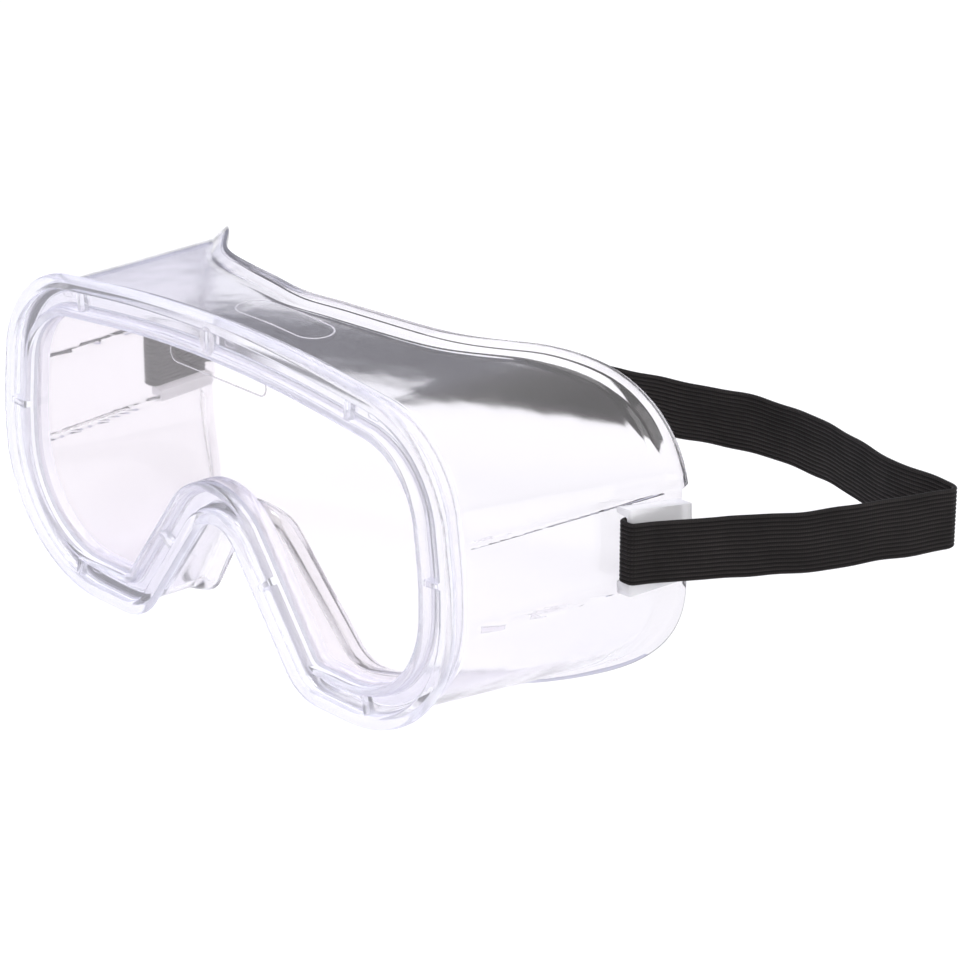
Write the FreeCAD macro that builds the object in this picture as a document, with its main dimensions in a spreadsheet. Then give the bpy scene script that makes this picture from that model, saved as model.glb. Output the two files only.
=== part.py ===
import FreeCAD, Part
import math
import os

from FreeCAD import Placement, Rotation, Vector

# Safety goggles: a flat clear lens in the grooved rim of a soft clear face
# frame, held on by a flat ribbed elastic strap.
#
# Millimetres.  +Z is up, the lens looks along -Y and +X is the wearer's left.
# The origin is on the lens's flat front face, in the middle of the clear
# window above the nose.
#
# The frame is one soft moulding.  It is built here as the rim and six wall
# pieces that meet face to face, because it wraps round an open space.

doc = FreeCAD.newDocument("safety_goggles")
sheet = doc.addObject("Spreadsheet::Sheet", "sizes")

DIMENSIONS = (
    # the rim's outline: half of it has six corners, each with its own radius
    ("rim_half_width", 82.8, "widest point of the rim, from the middle"),
    ("wide_z", -18.0, "height of the widest point"),
    ("wide_radius", 90.0, "radius there"),
    ("crown_height", 26.9, "top of the outline, before its large radius"),
    ("crown_radius", 380.0, "radius of the slightly arched top"),
    ("brow_inset", 4.5, "top corner, inward of the widest point"),
    ("brow_drop", 8.6, "top corner, below the top"),
    ("brow_radius", 29.0, "radius of the top corner"),
    ("foot_depth", 61.2, "foot of the outline, below the origin"),
    ("cheek_inset", 0.5, "bottom corner, inward of the widest point"),
    ("cheek_radius", 35.5, "radius of the bottom corner"),
    ("notch_half_width", 29.5, "half width of the nose notch at the foot"),
    ("notch_radius", 13.0, "radius at the foot of the notch"),
    ("nose_peak_z", -21.0, "peak of the notch, before its radius"),
    ("nose_radius", 9.0, "radius of the peak"),
    # the rim's section
    ("rim_width", 10.3, "from the outer edge to the lens opening"),
    ("rim_front", 3.2, "how far the rim stands in front of the lens face"),
    ("rim_back", 4.6, "how far the rim reaches behind the lens face"),
    ("bead_width", 3.6, "outer bead"),
    ("bead_back", -0.6, "back of the bead's overhang, from the lens face"),
    ("channel_width", 4.6, "channel between the bead and the inner lip"),
    ("channel_depth", 2.2, "depth of the channel"),
    ("post_width", 1.6, "each of the posts that bridge the channel"),
    ("post_drop", 0.4, "how far the posts stay below the bead"),
    # the lens and its groove
    ("lens_thickness", 1.6, "lens sheet"),
    ("lens_groove", 2.8, "depth of the groove that holds the lens"),
    ("lens_side_gap", 0.2, "gap between the lens's edge and the groove"),
    ("lens_face_gap", 0.05, "gap on each face of the lens in the groove"),
    # the wall behind the rim, as far back as the temples
    ("wall", 1.7, "thickness of the frame's wall"),
    ("wall_inset", 2.4, "wall's outer face at the rim, inward of its edge"),
    ("rear_flare", 3.2, "each side at the back, outward of the rim's"),
    ("rear_crown_drop", 2.6, "top at the back, below the rim's"),
    ("rear_brow_inset", 1.6, "top corner at the back, inward of the side"),
    ("rear_brow_drop", 8.5, "top corner at the back, below the top"),
    ("rear_brow_radius", 34.0, "radius of the top corner at the back"),
    ("rear_cheek_inset", 1.2, "bottom corner at the back, inward of the side"),
    ("rear_cheek_radius", 25.0, "radius of the bottom corner at the back"),
    ("rear_foot_rise", 1.2, "foot at the back, above the rim's"),
    ("rear_nose_rise", 6.0, "nose peak at the back, above the rim's"),
    ("rear_nose_radius", 12.0, "radius of the nose peak at the back"),
    # the back edge that lies on the face
    ("temple_depth", 67.5, "back edge at the temples"),
    ("forehead_depth", 33.5, "back edge at the middle of the forehead"),
    ("chin_depth", -3.0, "the same curve carried down to the chin"),
    ("face_top", 45.0, "height at which the forehead's curve is given"),
    ("face_foot", -77.0, "height at which the chin's curve is given"),
    ("lip_length", 5.5, "lip along the back edge, measured along Y"),
    ("lip_height", 2.2, "how far the lip stands out of the wall"),
    # ribs and strap lugs on the two sides
    ("rib_height", 1.1, "how far a side rib stands out of the wall"),
    ("rib_thickness", 1.4, "thickness of a side rib"),
    ("rib_upper_z", -9.8, "height of the upper rib"),
    ("rib_lower_z", -31.0, "height of the lower rib"),
    ("lug_front", 47.2, "front edge of the lug plate"),
    ("lug_length", 18.0, "length of the lug plate"),
    ("lug_thickness", 1.6, "thickness of the lug plate"),
    ("lug_slot", 2.6, "gap between the wall and the lug plate"),
    ("slot_spare", 0.8, "gap above and below the strap in the lug's slot"),
    # the strap
    ("strap_width", 15.2, "width of the elastic"),
    ("strap_thickness", 1.3, "thickness of the elastic"),
    ("strap_gap", 0.4, "gap between the strap and what it lies on"),
    ("strap_tail", 17.5, "length of the strap's inner layer"),
    ("strap_swing", 32.0, "largest swing that the strap's ends leave room for, degrees"),
    ("fold_round", 0.9, "inside radius of the fold round the lug plate's front edge"),
    ("strap_split", 15.5, "the sides end and the rear length begins this far behind the temples"),
)

for row, (alias, value, note) in enumerate(DIMENSIONS, start=1):
    sheet.set("A%d" % row, note)
    sheet.set("B%d" % row, str(value))
    sheet.setAlias("B%d" % row, alias)
doc.recompute()


def size(alias):
    return float(sheet.get(alias))


# ---------------------------------------------------------------- outlines

def mirrored(half):
    """Close a half outline that runs from the top middle to the nose peak."""
    left = [(-x, z, r) for x, z, r in reversed(half[1:-1])]
    return half + left


def rim_outline():
    side = size("rim_half_width")
    crown = size("crown_height")
    foot = -size("foot_depth")
    return mirrored([
        (0.0, crown, size("crown_radius")),
        (side - size("brow_inset"), crown - size("brow_drop"), size("brow_radius")),
        (side, size("wide_z"), size("wide_radius")),
        (side - size("cheek_inset"), foot, size("cheek_radius")),
        (size("notch_half_width"), foot, size("notch_radius")),
        (0.0, size("nose_peak_z"), size("nose_radius")),
    ])


def rear_outline():
    side = size("rim_half_width") + size("rear_flare")
    crown = size("crown_height") - size("rear_crown_drop")
    foot = -size("foot_depth") + size("rear_foot_rise")
    return mirrored([
        (0.0, crown, size("crown_radius")),
        (side - size("rear_brow_inset"), crown - size("rear_brow_drop"), size("rear_brow_radius")),
        (side, size("wide_z"), size("wide_radius")),
        (side - size("rear_cheek_inset"), foot, size("rear_cheek_radius")),
        (size("notch_half_width"), foot, size("notch_radius")),
        (0.0, size("nose_peak_z") + size("rear_nose_rise"), size("rear_nose_radius")),
    ])


def turn_at(before, corner, after):
    """Signed turn, in radians, of a path at one of its corners."""
    first = math.atan2(corner[1] - before[1], corner[0] - before[0])
    second = math.atan2(after[1] - corner[1], after[0] - corner[0])
    return (second - first + math.pi) % (2 * math.pi) - math.pi


def offset_corners(corners, inward, closed=True):
    """Move a path sideways, to its right: the outlines run clockwise, so inward."""
    count = len(corners)
    moved = []
    for i, (x, z, radius) in enumerate(corners):
        before = corners[i - 1] if closed or i > 0 else None
        after = corners[(i + 1) % count] if closed or i < count - 1 else None
        if before is None or after is None:
            a, b = (corners[0], corners[1]) if before is None else (corners[-2], corners[-1])
            along = math.atan2(b[1] - a[1], b[0] - a[0])
            moved.append((x + inward * math.sin(along), z - inward * math.cos(along), 0.0))
            continue
        turn = turn_at(before, (x, z), after)
        start = math.atan2(z - before[1], x - before[0])
        middle = start + turn / 2
        reach = inward / math.cos(turn / 2)
        new_radius = radius + inward if turn > 0 else radius - inward
        moved.append((x + reach * math.sin(middle), z - reach * math.cos(middle), new_radius))
    return moved


def rounded_path(corners, closed=True):
    """Straight runs joined by tangent arcs, as Part edges in the XY plane."""
    count = len(corners)
    stops = []
    for i, (x, z, radius) in enumerate(corners):
        if not closed and i in (0, count - 1):
            stops.append((Vector(x, z, 0), None, Vector(x, z, 0)))
            continue
        before = Vector(*corners[i - 1][:2], 0)
        after = Vector(*corners[(i + 1) % count][:2], 0)
        here = Vector(x, z, 0)
        turn = turn_at(before, here, after)
        reach = radius * math.tan(abs(turn) / 2)
        back = (before - here).normalize()
        ahead = (after - here).normalize()
        bisector = (back + ahead).normalize()
        depth = radius / math.cos(turn / 2) - radius
        stops.append((here + back * reach, here + bisector * depth, here + ahead * reach))
    edges = []
    for i, (start, middle, end) in enumerate(stops):
        if middle is not None:
            edges.append(Part.Arc(start, middle, end))
        if closed or i < count - 1:
            edges.append(Part.LineSegment(end, stops[(i + 1) % count][0]))
    return edges


RIM = rim_outline()
REAR = rear_outline()

# Where the outlines lie along Y.
FRONT = -size("rim_front")
BACK = size("rim_back")
TEMPLE = size("temple_depth")
WALL_END = TEMPLE + 1.0
FAR = TEMPLE + 40.0

# A sketch stood upright: its own Y is the model's Z, and it looks along -Y.
UPRIGHT = Rotation(Vector(1, 0, 0), 90)


def plane_of(body, role):
    return [f for f in body.Origin.OriginFeatures if f.Role == role][0]


def upright_sketch(owner, name, y, paths):
    """A sketch in a plane y behind the lens face, in a body or on its own."""
    if owner is None:
        sketch = doc.addObject("Sketcher::SketchObject", name)
        sketch.Placement = Placement(Vector(0, y, 0), UPRIGHT)
    else:
        sketch = owner.newObject("Sketcher::SketchObject", name)
        sketch.AttachmentSupport = [(plane_of(owner, "XZ_Plane"), "")]
        sketch.MapMode = "FlatFace"
        sketch.AttachmentOffset = Placement(Vector(0, 0, -y), Rotation())
    for edges in paths:
        sketch.addGeometry(edges, False)
    doc.recompute()
    return sketch


def extrude(body, kind, name, sketch, length):
    """Pad or pocket a sketch towards +Y by an expression of the sheet."""
    feature = body.newObject("PartDesign::" + kind, name)
    feature.Profile = sketch
    feature.setExpression("Length", length)
    feature.Reversed = kind == "Pad"
    before = body.Shape.Volume if kind == "Pocket" else 0.0
    doc.recompute()
    if kind == "Pocket" and not body.Shape.Volume < before - 1.0:
        raise RuntimeError(name + " removes nothing")
    return feature


def outline_at(inward):
    return rounded_path(offset_corners(RIM, inward))


# ---------------------------------------------------------------- lens

lens = doc.addObject("PartDesign::Body", "lens")
lens.Label = "lens"
LENS_EDGE = size("rim_width") - size("lens_groove") + size("lens_side_gap")
lens_sketch = upright_sketch(lens, "lens_outline", 0.0, [outline_at(LENS_EDGE)])
extrude(lens, "Pad", "lens_sheet", lens_sketch, "sizes.lens_thickness")

# ---------------------------------------------------------------- rim

rim = doc.addObject("PartDesign::Body", "rim")
rim.Label = "rim"
rim_paths = [outline_at(0.0), outline_at(size("rim_width"))]
rim_sketch = upright_sketch(rim, "rim_outline", FRONT, rim_paths)
extrude(rim, "Pad", "rim_ring", rim_sketch, "sizes.rim_front + sizes.rim_back")

channel_in = size("bead_width") + size("channel_width")
channel_paths = [outline_at(size("bead_width")), outline_at(channel_in)]
channel_sketch = upright_sketch(rim, "channel_outline", FRONT, channel_paths)
extrude(rim, "Pocket", "channel", channel_sketch, "sizes.channel_depth")

# The bead overhangs the wall, which starts right behind it.
step_paths = [outline_at(-1.0), outline_at(size("wall_inset"))]
step_sketch = upright_sketch(rim, "step_outline", size("bead_back"), step_paths)
extrude(rim, "Pocket", "bead_step", step_sketch, "sizes.rim_back - sizes.bead_back")

groove_edge = size("rim_width") - size("lens_groove")
groove_front = -size("lens_face_gap")
groove_sketch = upright_sketch(rim, "groove_outline", groove_front, [outline_at(groove_edge)])
extrude(rim, "Pocket", "lens_slot", groove_sketch, "sizes.lens_thickness + 2 * sizes.lens_face_gap")


def nearest_on(edges, point):
    """The point of an outline nearest to a given one."""
    shape = Part.Wire([e.toShape() for e in edges])
    return shape.distToShape(Part.Vertex(point))[1][0][0]


def post_path(near):
    """A small rectangle across the channel, square to it, nearest to a point."""
    outer = nearest_on(outline_at(size("bead_width") - 0.3), near)
    inner = nearest_on(outline_at(channel_in + 0.3), outer)
    across = inner - outer
    half = Vector(-across.y, across.x, 0).normalize() * (size("post_width") / 2)
    corners = [outer - half, outer + half, inner + half, inner - half]
    return [Part.LineSegment(corners[i], corners[(i + 1) % 4]) for i in range(4)]


# Nine posts bridge the channel: one at the top middle and four on each side.
side = size("rim_half_width")
crown = size("crown_height")
foot = -size("foot_depth")
POST_SPOTS = [Vector(0, crown, 0)]
for way in (1, -1):
    POST_SPOTS.append(Vector(way * (side - size("brow_inset")) * 0.64, crown, 0))
    POST_SPOTS.append(Vector(way * side * 1.1, size("wide_z") + 1.5, 0))
    POST_SPOTS.append(Vector(way * (side - size("cheek_inset")) * 0.69, foot * 1.1, 0))
    POST_SPOTS.append(Vector(way * size("notch_half_width") * 0.4, foot * 0.67, 0))
post_paths = [post_path(spot) for spot in POST_SPOTS]
post_sketch = upright_sketch(rim, "post_outlines", FRONT + size("post_drop"), post_paths)
extrude(rim, "Pad", "posts", post_sketch, "sizes.channel_depth - sizes.post_drop + 0.2")

# ---------------------------------------------------------------- frame walls

WALL_OUT_FRONT = offset_corners(RIM, size("wall_inset"))
WALL_IN_FRONT = offset_corners(WALL_OUT_FRONT, size("wall"))
WALL_IN_REAR = offset_corners(REAR, size("wall"))
LIP_OUT_FRONT = offset_corners(WALL_OUT_FRONT, -size("lip_height"))
LIP_OUT_REAR = offset_corners(REAR, -size("lip_height"))


def tube(name, front, rear):
    """A solid from the rim's back face to just beyond the temples."""
    share = (WALL_END - BACK) / (TEMPLE - BACK)
    beyond = []
    for (x0, z0, r0), (x1, z1, r1) in zip(front, rear):
        beyond.append((x0 + (x1 - x0) * share, z0 + (z1 - z0) * share, r0 + (r1 - r0) * share))
    near = upright_sketch(None, name + "_near", BACK, [rounded_path(front)])
    far = upright_sketch(None, name + "_far", WALL_END, [rounded_path(beyond)])
    loft = doc.addObject("Part::Loft", name)
    loft.Sections = [near, far]
    loft.Solid = True
    loft.Ruled = True
    return loft


wall_outer = tube("wall_outer", WALL_OUT_FRONT, REAR)
wall_inner = tube("wall_inner", WALL_IN_FRONT, WALL_IN_REAR)
lip_outer = tube("lip_outer", LIP_OUT_FRONT, LIP_OUT_REAR)

# The back edge follows a face: a plan curve over the brow and another at the
# foot, each given as shares of the half width and of the depth at the temples.
BROW_PLAN = (
    (0.0, 0.0),
    (0.29, 0.05),
    (0.49, 0.24),
    (0.67, 0.59),
    (0.83, 0.85),
    (1.0, 0.98),
    (1.2, 1.0),
)
CHIN_PLAN = (
    (0.0, 0.0),
    (0.16, 0.15),
    (0.31, 0.26),
    (0.48, 0.34),
    (0.69, 0.62),
    (0.83, 0.84),
    (1.0, 0.98),
    (1.2, 1.0),
)


def plan_points(plan, middle):
    reach = size("rim_half_width") + size("rear_flare")
    half = [(share * reach, middle + (TEMPLE - middle) * rise) for share, rise in plan]
    return [(-x, y) for x, y in reversed(half[1:])] + half


def face_form(name, forward):
    """The space that a face takes, moved forward along Y by a given length."""
    form = doc.addObject("Part::Loft", name)
    sections = []
    brow_depth = size("forehead_depth")
    chin_depth = size("chin_depth")
    levels = (("face_top", BROW_PLAN, brow_depth), ("face_foot", CHIN_PLAN, chin_depth))
    for level, plan, middle in levels:
        points = [Vector(x, y - forward, 0) for x, y in plan_points(plan, middle)]
        curve = Part.BSplineCurve()
        curve.interpolate(points)
        ends = (Vector(points[-1].x, FAR + 20, 0), Vector(points[0].x, FAR + 20, 0))
        sketch = doc.addObject("Sketcher::SketchObject", name + "_at_" + level)
        sketch.addGeometry(curve, False)
        sketch.addGeometry(Part.LineSegment(points[-1], ends[0]), False)
        sketch.addGeometry(Part.LineSegment(ends[0], ends[1]), False)
        sketch.addGeometry(Part.LineSegment(ends[1], points[0]), False)
        sketch.Placement = Placement(Vector(0, 0, size(level)), Rotation())
        sections.append(sketch)
    doc.recompute()
    form.Sections = sections
    form.Solid = True
    form.Ruled = True
    return form


def boolean(kind, name, first, second):
    made = doc.addObject("Part::" + kind, name)
    made.Base = first
    made.Tool = second
    doc.recompute()
    return made


face = face_form("face", 0.0)
face_ahead = face_form("face_ahead", size("lip_length"))
doc.recompute()

# Side ribs and strap lugs stand out of the wall, so they follow its flare.
RIB_LOW = size("rib_lower_z") - size("rib_thickness") / 2
RIB_HIGH = size("rib_upper_z") + size("rib_thickness") / 2
PANEL_LOW = size("rib_lower_z") + size("rib_thickness") / 2
PANEL_HIGH = size("rib_upper_z") - size("rib_thickness") / 2
STRAP_MIDDLE = (PANEL_LOW + PANEL_HIGH) / 2
STRAP_LOW = STRAP_MIDDLE - size("strap_width") / 2
SLOT_LOW = STRAP_LOW - size("slot_spare")
SLOT_HIGH = STRAP_LOW + size("strap_width") + size("slot_spare")
WIDE = 2 * (size("rim_half_width") + 40.0)
SIDES_FROM = size("rim_half_width") - 2 * size("brow_radius") / 3


def raised(name, height):
    """The wall's outer form, grown outward by a height."""
    return tube(name, offset_corners(WALL_OUT_FRONT, -height), offset_corners(REAR, -height))


def slab(name, half_x, low_z, high_z, start, length):
    box = doc.addObject("Part::Box", name)
    box.Length = 2 * half_x
    box.Height = high_z - low_z
    box.setExpression("Width", length)
    box.Placement = Placement(Vector(-half_x, 0, low_z), Rotation())
    box.setExpression("Placement.Base.y", start)
    return box


def band(name, low_z, high_z, start="0", length="sizes.temple_depth + 60"):
    """A slab across both sides of the frame, with nothing between them."""
    whole = slab(name + "_whole", WIDE / 2, low_z, high_z, start, length)
    middle = slab(name + "_middle", SIDES_FROM, low_z - 1, high_z + 1, "-1", "sizes.temple_depth + 62")
    return boolean("Cut", name, whole, middle)


rib_form = raised("rib_form", size("rib_height"))
rib_span = band("rib_span", RIB_LOW, RIB_HIGH)
rib_space = band("rib_space", PANEL_LOW, PANEL_HIGH)
rib_bands = boolean("Cut", "rib_bands", rib_span, rib_space)
ribs = boolean("Common", "ribs", rib_form, rib_bands)

lug_form = raised("lug_form", size("lug_slot") + size("lug_thickness"))
slot_form = raised("slot_form", size("lug_slot"))
lug_span = band("lug_span", RIB_LOW, RIB_HIGH, "sizes.lug_front", "sizes.lug_length")
slot_span = band("slot_span", SLOT_LOW, SLOT_HIGH)
lug_blank = boolean("Common", "lug_blank", lug_form, lug_span)
lug_slot = boolean("Common", "lug_slot", slot_form, slot_span)
lugs = boolean("Cut", "lugs", lug_blank, lug_slot)

lip_ring = boolean("Common", "lip_ring", lip_outer, face_ahead)
lip_open = band("lip_open", PANEL_LOW, PANEL_HIGH)
lip = boolean("Cut", "lip", lip_ring, lip_open)

frame_blank = doc.addObject("Part::MultiFuse", "frame_blank")
frame_blank.Shapes = [wall_outer, lip, ribs, lugs]
doc.recompute()
frame_hollow = boolean("Cut", "frame_hollow", frame_blank, wall_inner)
frame_wall = boolean("Cut", "frame_wall", frame_hollow, face)

# The moulding's wall is divided in straight planes.
BROW_CUT = (side - size("brow_inset")) * 0.74
CHEEK_CUT = size("rib_lower_z") - 11.0
NOSE_CUT = size("notch_half_width") + 3.0
BRIDGE_TOP = -11.0
TOP = size("face_top")
BOTTOM = size("face_foot")
REACH = side + 30.0
REGIONS = {
    "brow_wall": (-BROW_CUT, BROW_CUT, BRIDGE_TOP, TOP),
    "temple_wall_left": (BROW_CUT, REACH, CHEEK_CUT, TOP),
    "temple_wall_right": (-REACH, -BROW_CUT, CHEEK_CUT, TOP),
    "cheek_wall_left": (NOSE_CUT, REACH, BOTTOM, CHEEK_CUT),
    "cheek_wall_right": (-REACH, -NOSE_CUT, BOTTOM, CHEEK_CUT),
    "nose_bridge": (-NOSE_CUT, NOSE_CUT, BOTTOM, BRIDGE_TOP),
}
parts = {"lens": lens, "rim": rim}
for name, (low_x, high_x, low_z, high_z) in REGIONS.items():
    region = doc.addObject("Part::Box", name + "_region")
    region.Length = high_x - low_x
    region.Width = FAR
    region.Height = high_z - low_z
    region.Placement = Placement(Vector(low_x, 0, low_z), Rotation())
    parts[name] = boolean("Common", name, frame_wall, region)

# ---------------------------------------------------------------- strap

# One length of elastic.  Each end goes in behind its lug plate and folds round
# the plate's front edge; from there the loop runs back round the head, creased
# where it was packed flat.  The path is the middle of its thickness, in plan.
HALF_THICK = size("strap_thickness") / 2


def side_x(y):
    """The outer face of the side wall, level with the strap, at a depth y."""
    level = Part.LineSegment(Vector(0, y, STRAP_MIDDLE), Vector(WIDE, y, STRAP_MIDDLE)).toShape()
    return max(v.X for v in wall_outer.Shape.common(level).Vertexes)


FOLD_Y = size("lug_front") - size("strap_gap") - HALF_THICK
OUTER_STEP = size("lug_slot") + size("lug_thickness") + size("strap_gap") + HALF_THICK
INNER_STEP = size("lug_slot") / 2
TAIL_Y = FOLD_Y + size("strap_tail")
INNER_FRONT = side_x(FOLD_Y) + INNER_STEP
OUTER_FRONT = side_x(FOLD_Y) + OUTER_STEP
FOLD_RADIUS = size("fold_round") + HALF_THICK
PIVOT_Y = size("lug_front") + 3.5
LEFT_PIVOT_X = OUTER_FRONT + 2.2
RIGHT_PIVOT_X = side_x(PIVOT_Y) + OUTER_STEP

# The loop behind the frame, from the left pivot round to the right one.  It
# hangs behind the temples, so its depths are counted from there.
LOOP = [
    (LEFT_PIVOT_X, PIVOT_Y, 0.0),
    (LEFT_PIVOT_X + 21.4, TEMPLE + 16.9, 55.0),
    (LEFT_PIVOT_X + 33.1, TEMPLE + 50.3, 2.4),
    (LEFT_PIVOT_X + 12.8, TEMPLE + 50.7, 40.0),
    (62.0, TEMPLE + 61.5, 60.0),
    (0.0, TEMPLE + 42.5, 200.0),
    (-55.0, TEMPLE + 21.0, 90.0),
    (-RIGHT_PIVOT_X - 2.4, TEMPLE + 3.5, 7.0),
    (-RIGHT_PIVOT_X, PIVOT_Y, 0.0),
]


def strip(name, corners, low_z, height):
    """A flat band on edge: a path in plan with a thickness, drawn up by a height."""
    one = rounded_path(offset_corners(corners, HALF_THICK, closed=False), closed=False)
    other = rounded_path(offset_corners(corners, -HALF_THICK, closed=False), closed=False)
    ends = [
        Part.LineSegment(one[0].StartPoint, other[0].StartPoint),
        Part.LineSegment(one[-1].EndPoint, other[-1].EndPoint),
    ]
    sketch = doc.addObject("Sketcher::SketchObject", name + "_plan")
    sketch.addGeometry(one + other + ends, False)
    sketch.Placement = Placement(Vector(0, 0, low_z), Rotation())
    band_solid = doc.addObject("Part::Extrusion", name)
    band_solid.Base = sketch
    band_solid.DirMode = "Custom"
    band_solid.Dir = Vector(0, 0, 1)
    band_solid.setExpression("LengthFwd", height)
    band_solid.Solid = True
    doc.recompute()
    return band_solid


loop = strip("loop", LOOP, STRAP_LOW, "sizes.strap_width")

for way, label, pivot_x in ((1, "left", LEFT_PIVOT_X), (-1, "right", RIGHT_PIVOT_X)):
    fold = [
        (way * (side_x(TAIL_Y) + INNER_STEP), TAIL_Y, 0.0),
        (way * INNER_FRONT, FOLD_Y, FOLD_RADIUS),
        (way * OUTER_FRONT, FOLD_Y, FOLD_RADIUS),
        (way * pivot_x, PIVOT_Y - size("strap_gap"), 0.0),
    ]
    name = "strap_end_" + label
    parts[name] = strip(name, fold, STRAP_LOW, "sizes.strap_width")

# The loop swings about the pivots, so its ends are cut back to a blunt point.
half = size("strap_width")
slant = half * math.tan(math.radians(size("strap_swing")))
split = TEMPLE + size("strap_split")
swing_outline = [
    Vector(PIVOT_Y, STRAP_MIDDLE, 0),
    Vector(PIVOT_Y + slant, STRAP_MIDDLE + half, 0),
    Vector(split, STRAP_MIDDLE + half, 0),
    Vector(split, STRAP_MIDDLE - half, 0),
    Vector(PIVOT_Y + slant, STRAP_MIDDLE - half, 0),
]
swing_sketch = doc.addObject("Sketcher::SketchObject", "swing_outline")
swing_edges = [Part.LineSegment(swing_outline[i], swing_outline[(i + 1) % 5]) for i in range(5)]
swing_sketch.addGeometry(swing_edges, False)
swing_sketch.Placement = Placement(Vector(0, 0, 0), Rotation(Vector(1, 1, 1), 120))
for way, label in ((1, "left"), (-1, "right")):
    reach = doc.addObject("Part::Extrusion", "swing_region_" + label)
    reach.Base = swing_sketch
    reach.DirMode = "Custom"
    reach.Dir = Vector(way, 0, 0)
    reach.LengthFwd = WIDE
    reach.Solid = True
    doc.recompute()
    name = "strap_side_" + label
    parts[name] = boolean("Common", name, loop, reach)

# Behind the sides the rear length is in two runs that meet near the crease.
CREASE_Y = LOOP[2][1] - 4.0
REAR_Y = split + size("strap_gap")


def rear_box(name, low_x, high_x, low_y, high_y):
    box = doc.addObject("Part::Box", name)
    box.Length = high_x - low_x
    box.Width = high_y - low_y
    box.Height = 3 * size("strap_width")
    box.Placement = Placement(Vector(low_x, low_y, STRAP_LOW - size("strap_width")), Rotation())
    return box


near_box = rear_box("near_box", LOOP[3][0], WIDE, REAR_Y, CREASE_Y)
rear_region = rear_box("rear_region", -WIDE, WIDE, REAR_Y, WIDE)
all_rear = boolean("Common", "all_rear", loop, rear_region)
parts["strap_rear_left"] = boolean("Common", "strap_rear_left", all_rear, near_box)
parts["strap_rear_right"] = boolean("Cut", "strap_rear_right", all_rear, near_box)

# ---------------------------------------------------------------- checks and files

doc.recompute()
for item in doc.Objects:
    if "Invalid" in item.State or "Error" in item.State:
        raise RuntimeError("%s did not build: %s" % (item.Name, item.State))

os.makedirs("parts", exist_ok=True)
for name, item in parts.items():
    item.Label = name
    shape = item.Shape
    if shape.isNull() or not shape.isValid() or len(shape.Solids) != 1:
        raise RuntimeError(name + " is not one valid solid")
    shape.exportStep(os.path.join("parts", name + ".step"))
    print("%-20s %8.0f mm3" % (name, shape.Volume))
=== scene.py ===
"""Safety goggles: clear moulded face frame, clear lens and ribbed elastic strap.

The goggles stand in the frame of the packed model, in metres.  Lengths in the
property groups are in millimetres and are turned into metres by the mesh code.
"""

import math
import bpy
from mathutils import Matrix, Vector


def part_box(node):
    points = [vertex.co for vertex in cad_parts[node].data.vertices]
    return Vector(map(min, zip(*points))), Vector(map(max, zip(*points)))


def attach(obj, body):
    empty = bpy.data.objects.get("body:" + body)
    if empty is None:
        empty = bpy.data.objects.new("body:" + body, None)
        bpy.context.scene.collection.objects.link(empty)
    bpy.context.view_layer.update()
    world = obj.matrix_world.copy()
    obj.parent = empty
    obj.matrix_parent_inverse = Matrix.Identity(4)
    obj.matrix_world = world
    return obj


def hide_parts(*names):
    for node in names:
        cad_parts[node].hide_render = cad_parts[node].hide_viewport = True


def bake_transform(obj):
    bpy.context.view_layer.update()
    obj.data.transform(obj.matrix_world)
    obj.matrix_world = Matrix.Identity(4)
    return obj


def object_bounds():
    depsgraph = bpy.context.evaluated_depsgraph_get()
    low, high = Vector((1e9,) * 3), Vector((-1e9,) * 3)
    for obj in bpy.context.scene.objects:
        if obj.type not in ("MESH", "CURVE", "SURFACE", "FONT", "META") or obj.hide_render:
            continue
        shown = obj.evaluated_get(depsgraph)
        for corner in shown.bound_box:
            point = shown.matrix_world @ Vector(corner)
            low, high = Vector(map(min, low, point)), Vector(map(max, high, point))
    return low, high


bl_info = {
    "name": "Safety Goggles",
    "version": (1, 0, 0),
    "blender": (4, 5, 0),
    "location": "View3D > Sidebar > Goggles",
    "description": "Builds clear safety goggles with an elastic strap",
    "category": "Object",
}

import bmesh
import bpy
import numpy as np
from mathutils import Vector

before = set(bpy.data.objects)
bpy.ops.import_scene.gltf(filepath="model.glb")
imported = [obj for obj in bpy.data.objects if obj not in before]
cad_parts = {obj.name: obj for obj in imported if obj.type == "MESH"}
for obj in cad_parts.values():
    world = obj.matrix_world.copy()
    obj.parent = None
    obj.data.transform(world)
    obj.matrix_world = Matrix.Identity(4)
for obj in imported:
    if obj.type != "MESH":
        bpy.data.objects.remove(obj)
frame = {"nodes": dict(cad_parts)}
CAD_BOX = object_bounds()
MM = 0.001


def box_mm(node):
    """The two corners of a packed node, in millimetres."""
    low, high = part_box(node)
    return low / MM, high / MM


RIM_LOW, _rim_high = box_mm("rim")
SIDE_LOW, SIDE_HIGH = box_mm("strap_side_left")


# ---- sizes


def length(name, default, description, low=0.0, high=400.0):
    """A length in millimetres for a property group."""
    return bpy.props.FloatProperty(
        name=name, default=default, description=description, min=low, max=high, precision=3
    )


def place(name, default, description):
    """A position in millimetres, on either side of the origin."""
    return length(name, default, description, -400.0, 400.0)


def colour(name, default, description):
    """A colour for a property group."""
    return bpy.props.FloatVectorProperty(
        name=name,
        default=default,
        description=description,
        subtype="COLOR",
        size=4,
        min=0.0,
        max=1.0,
    )


def share(name, default, description):
    """A share from 0 to 1 for a property group."""
    return bpy.props.FloatProperty(
        name=name, default=default, description=description, subtype="FACTOR", min=0.0, max=1.0
    )


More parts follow.
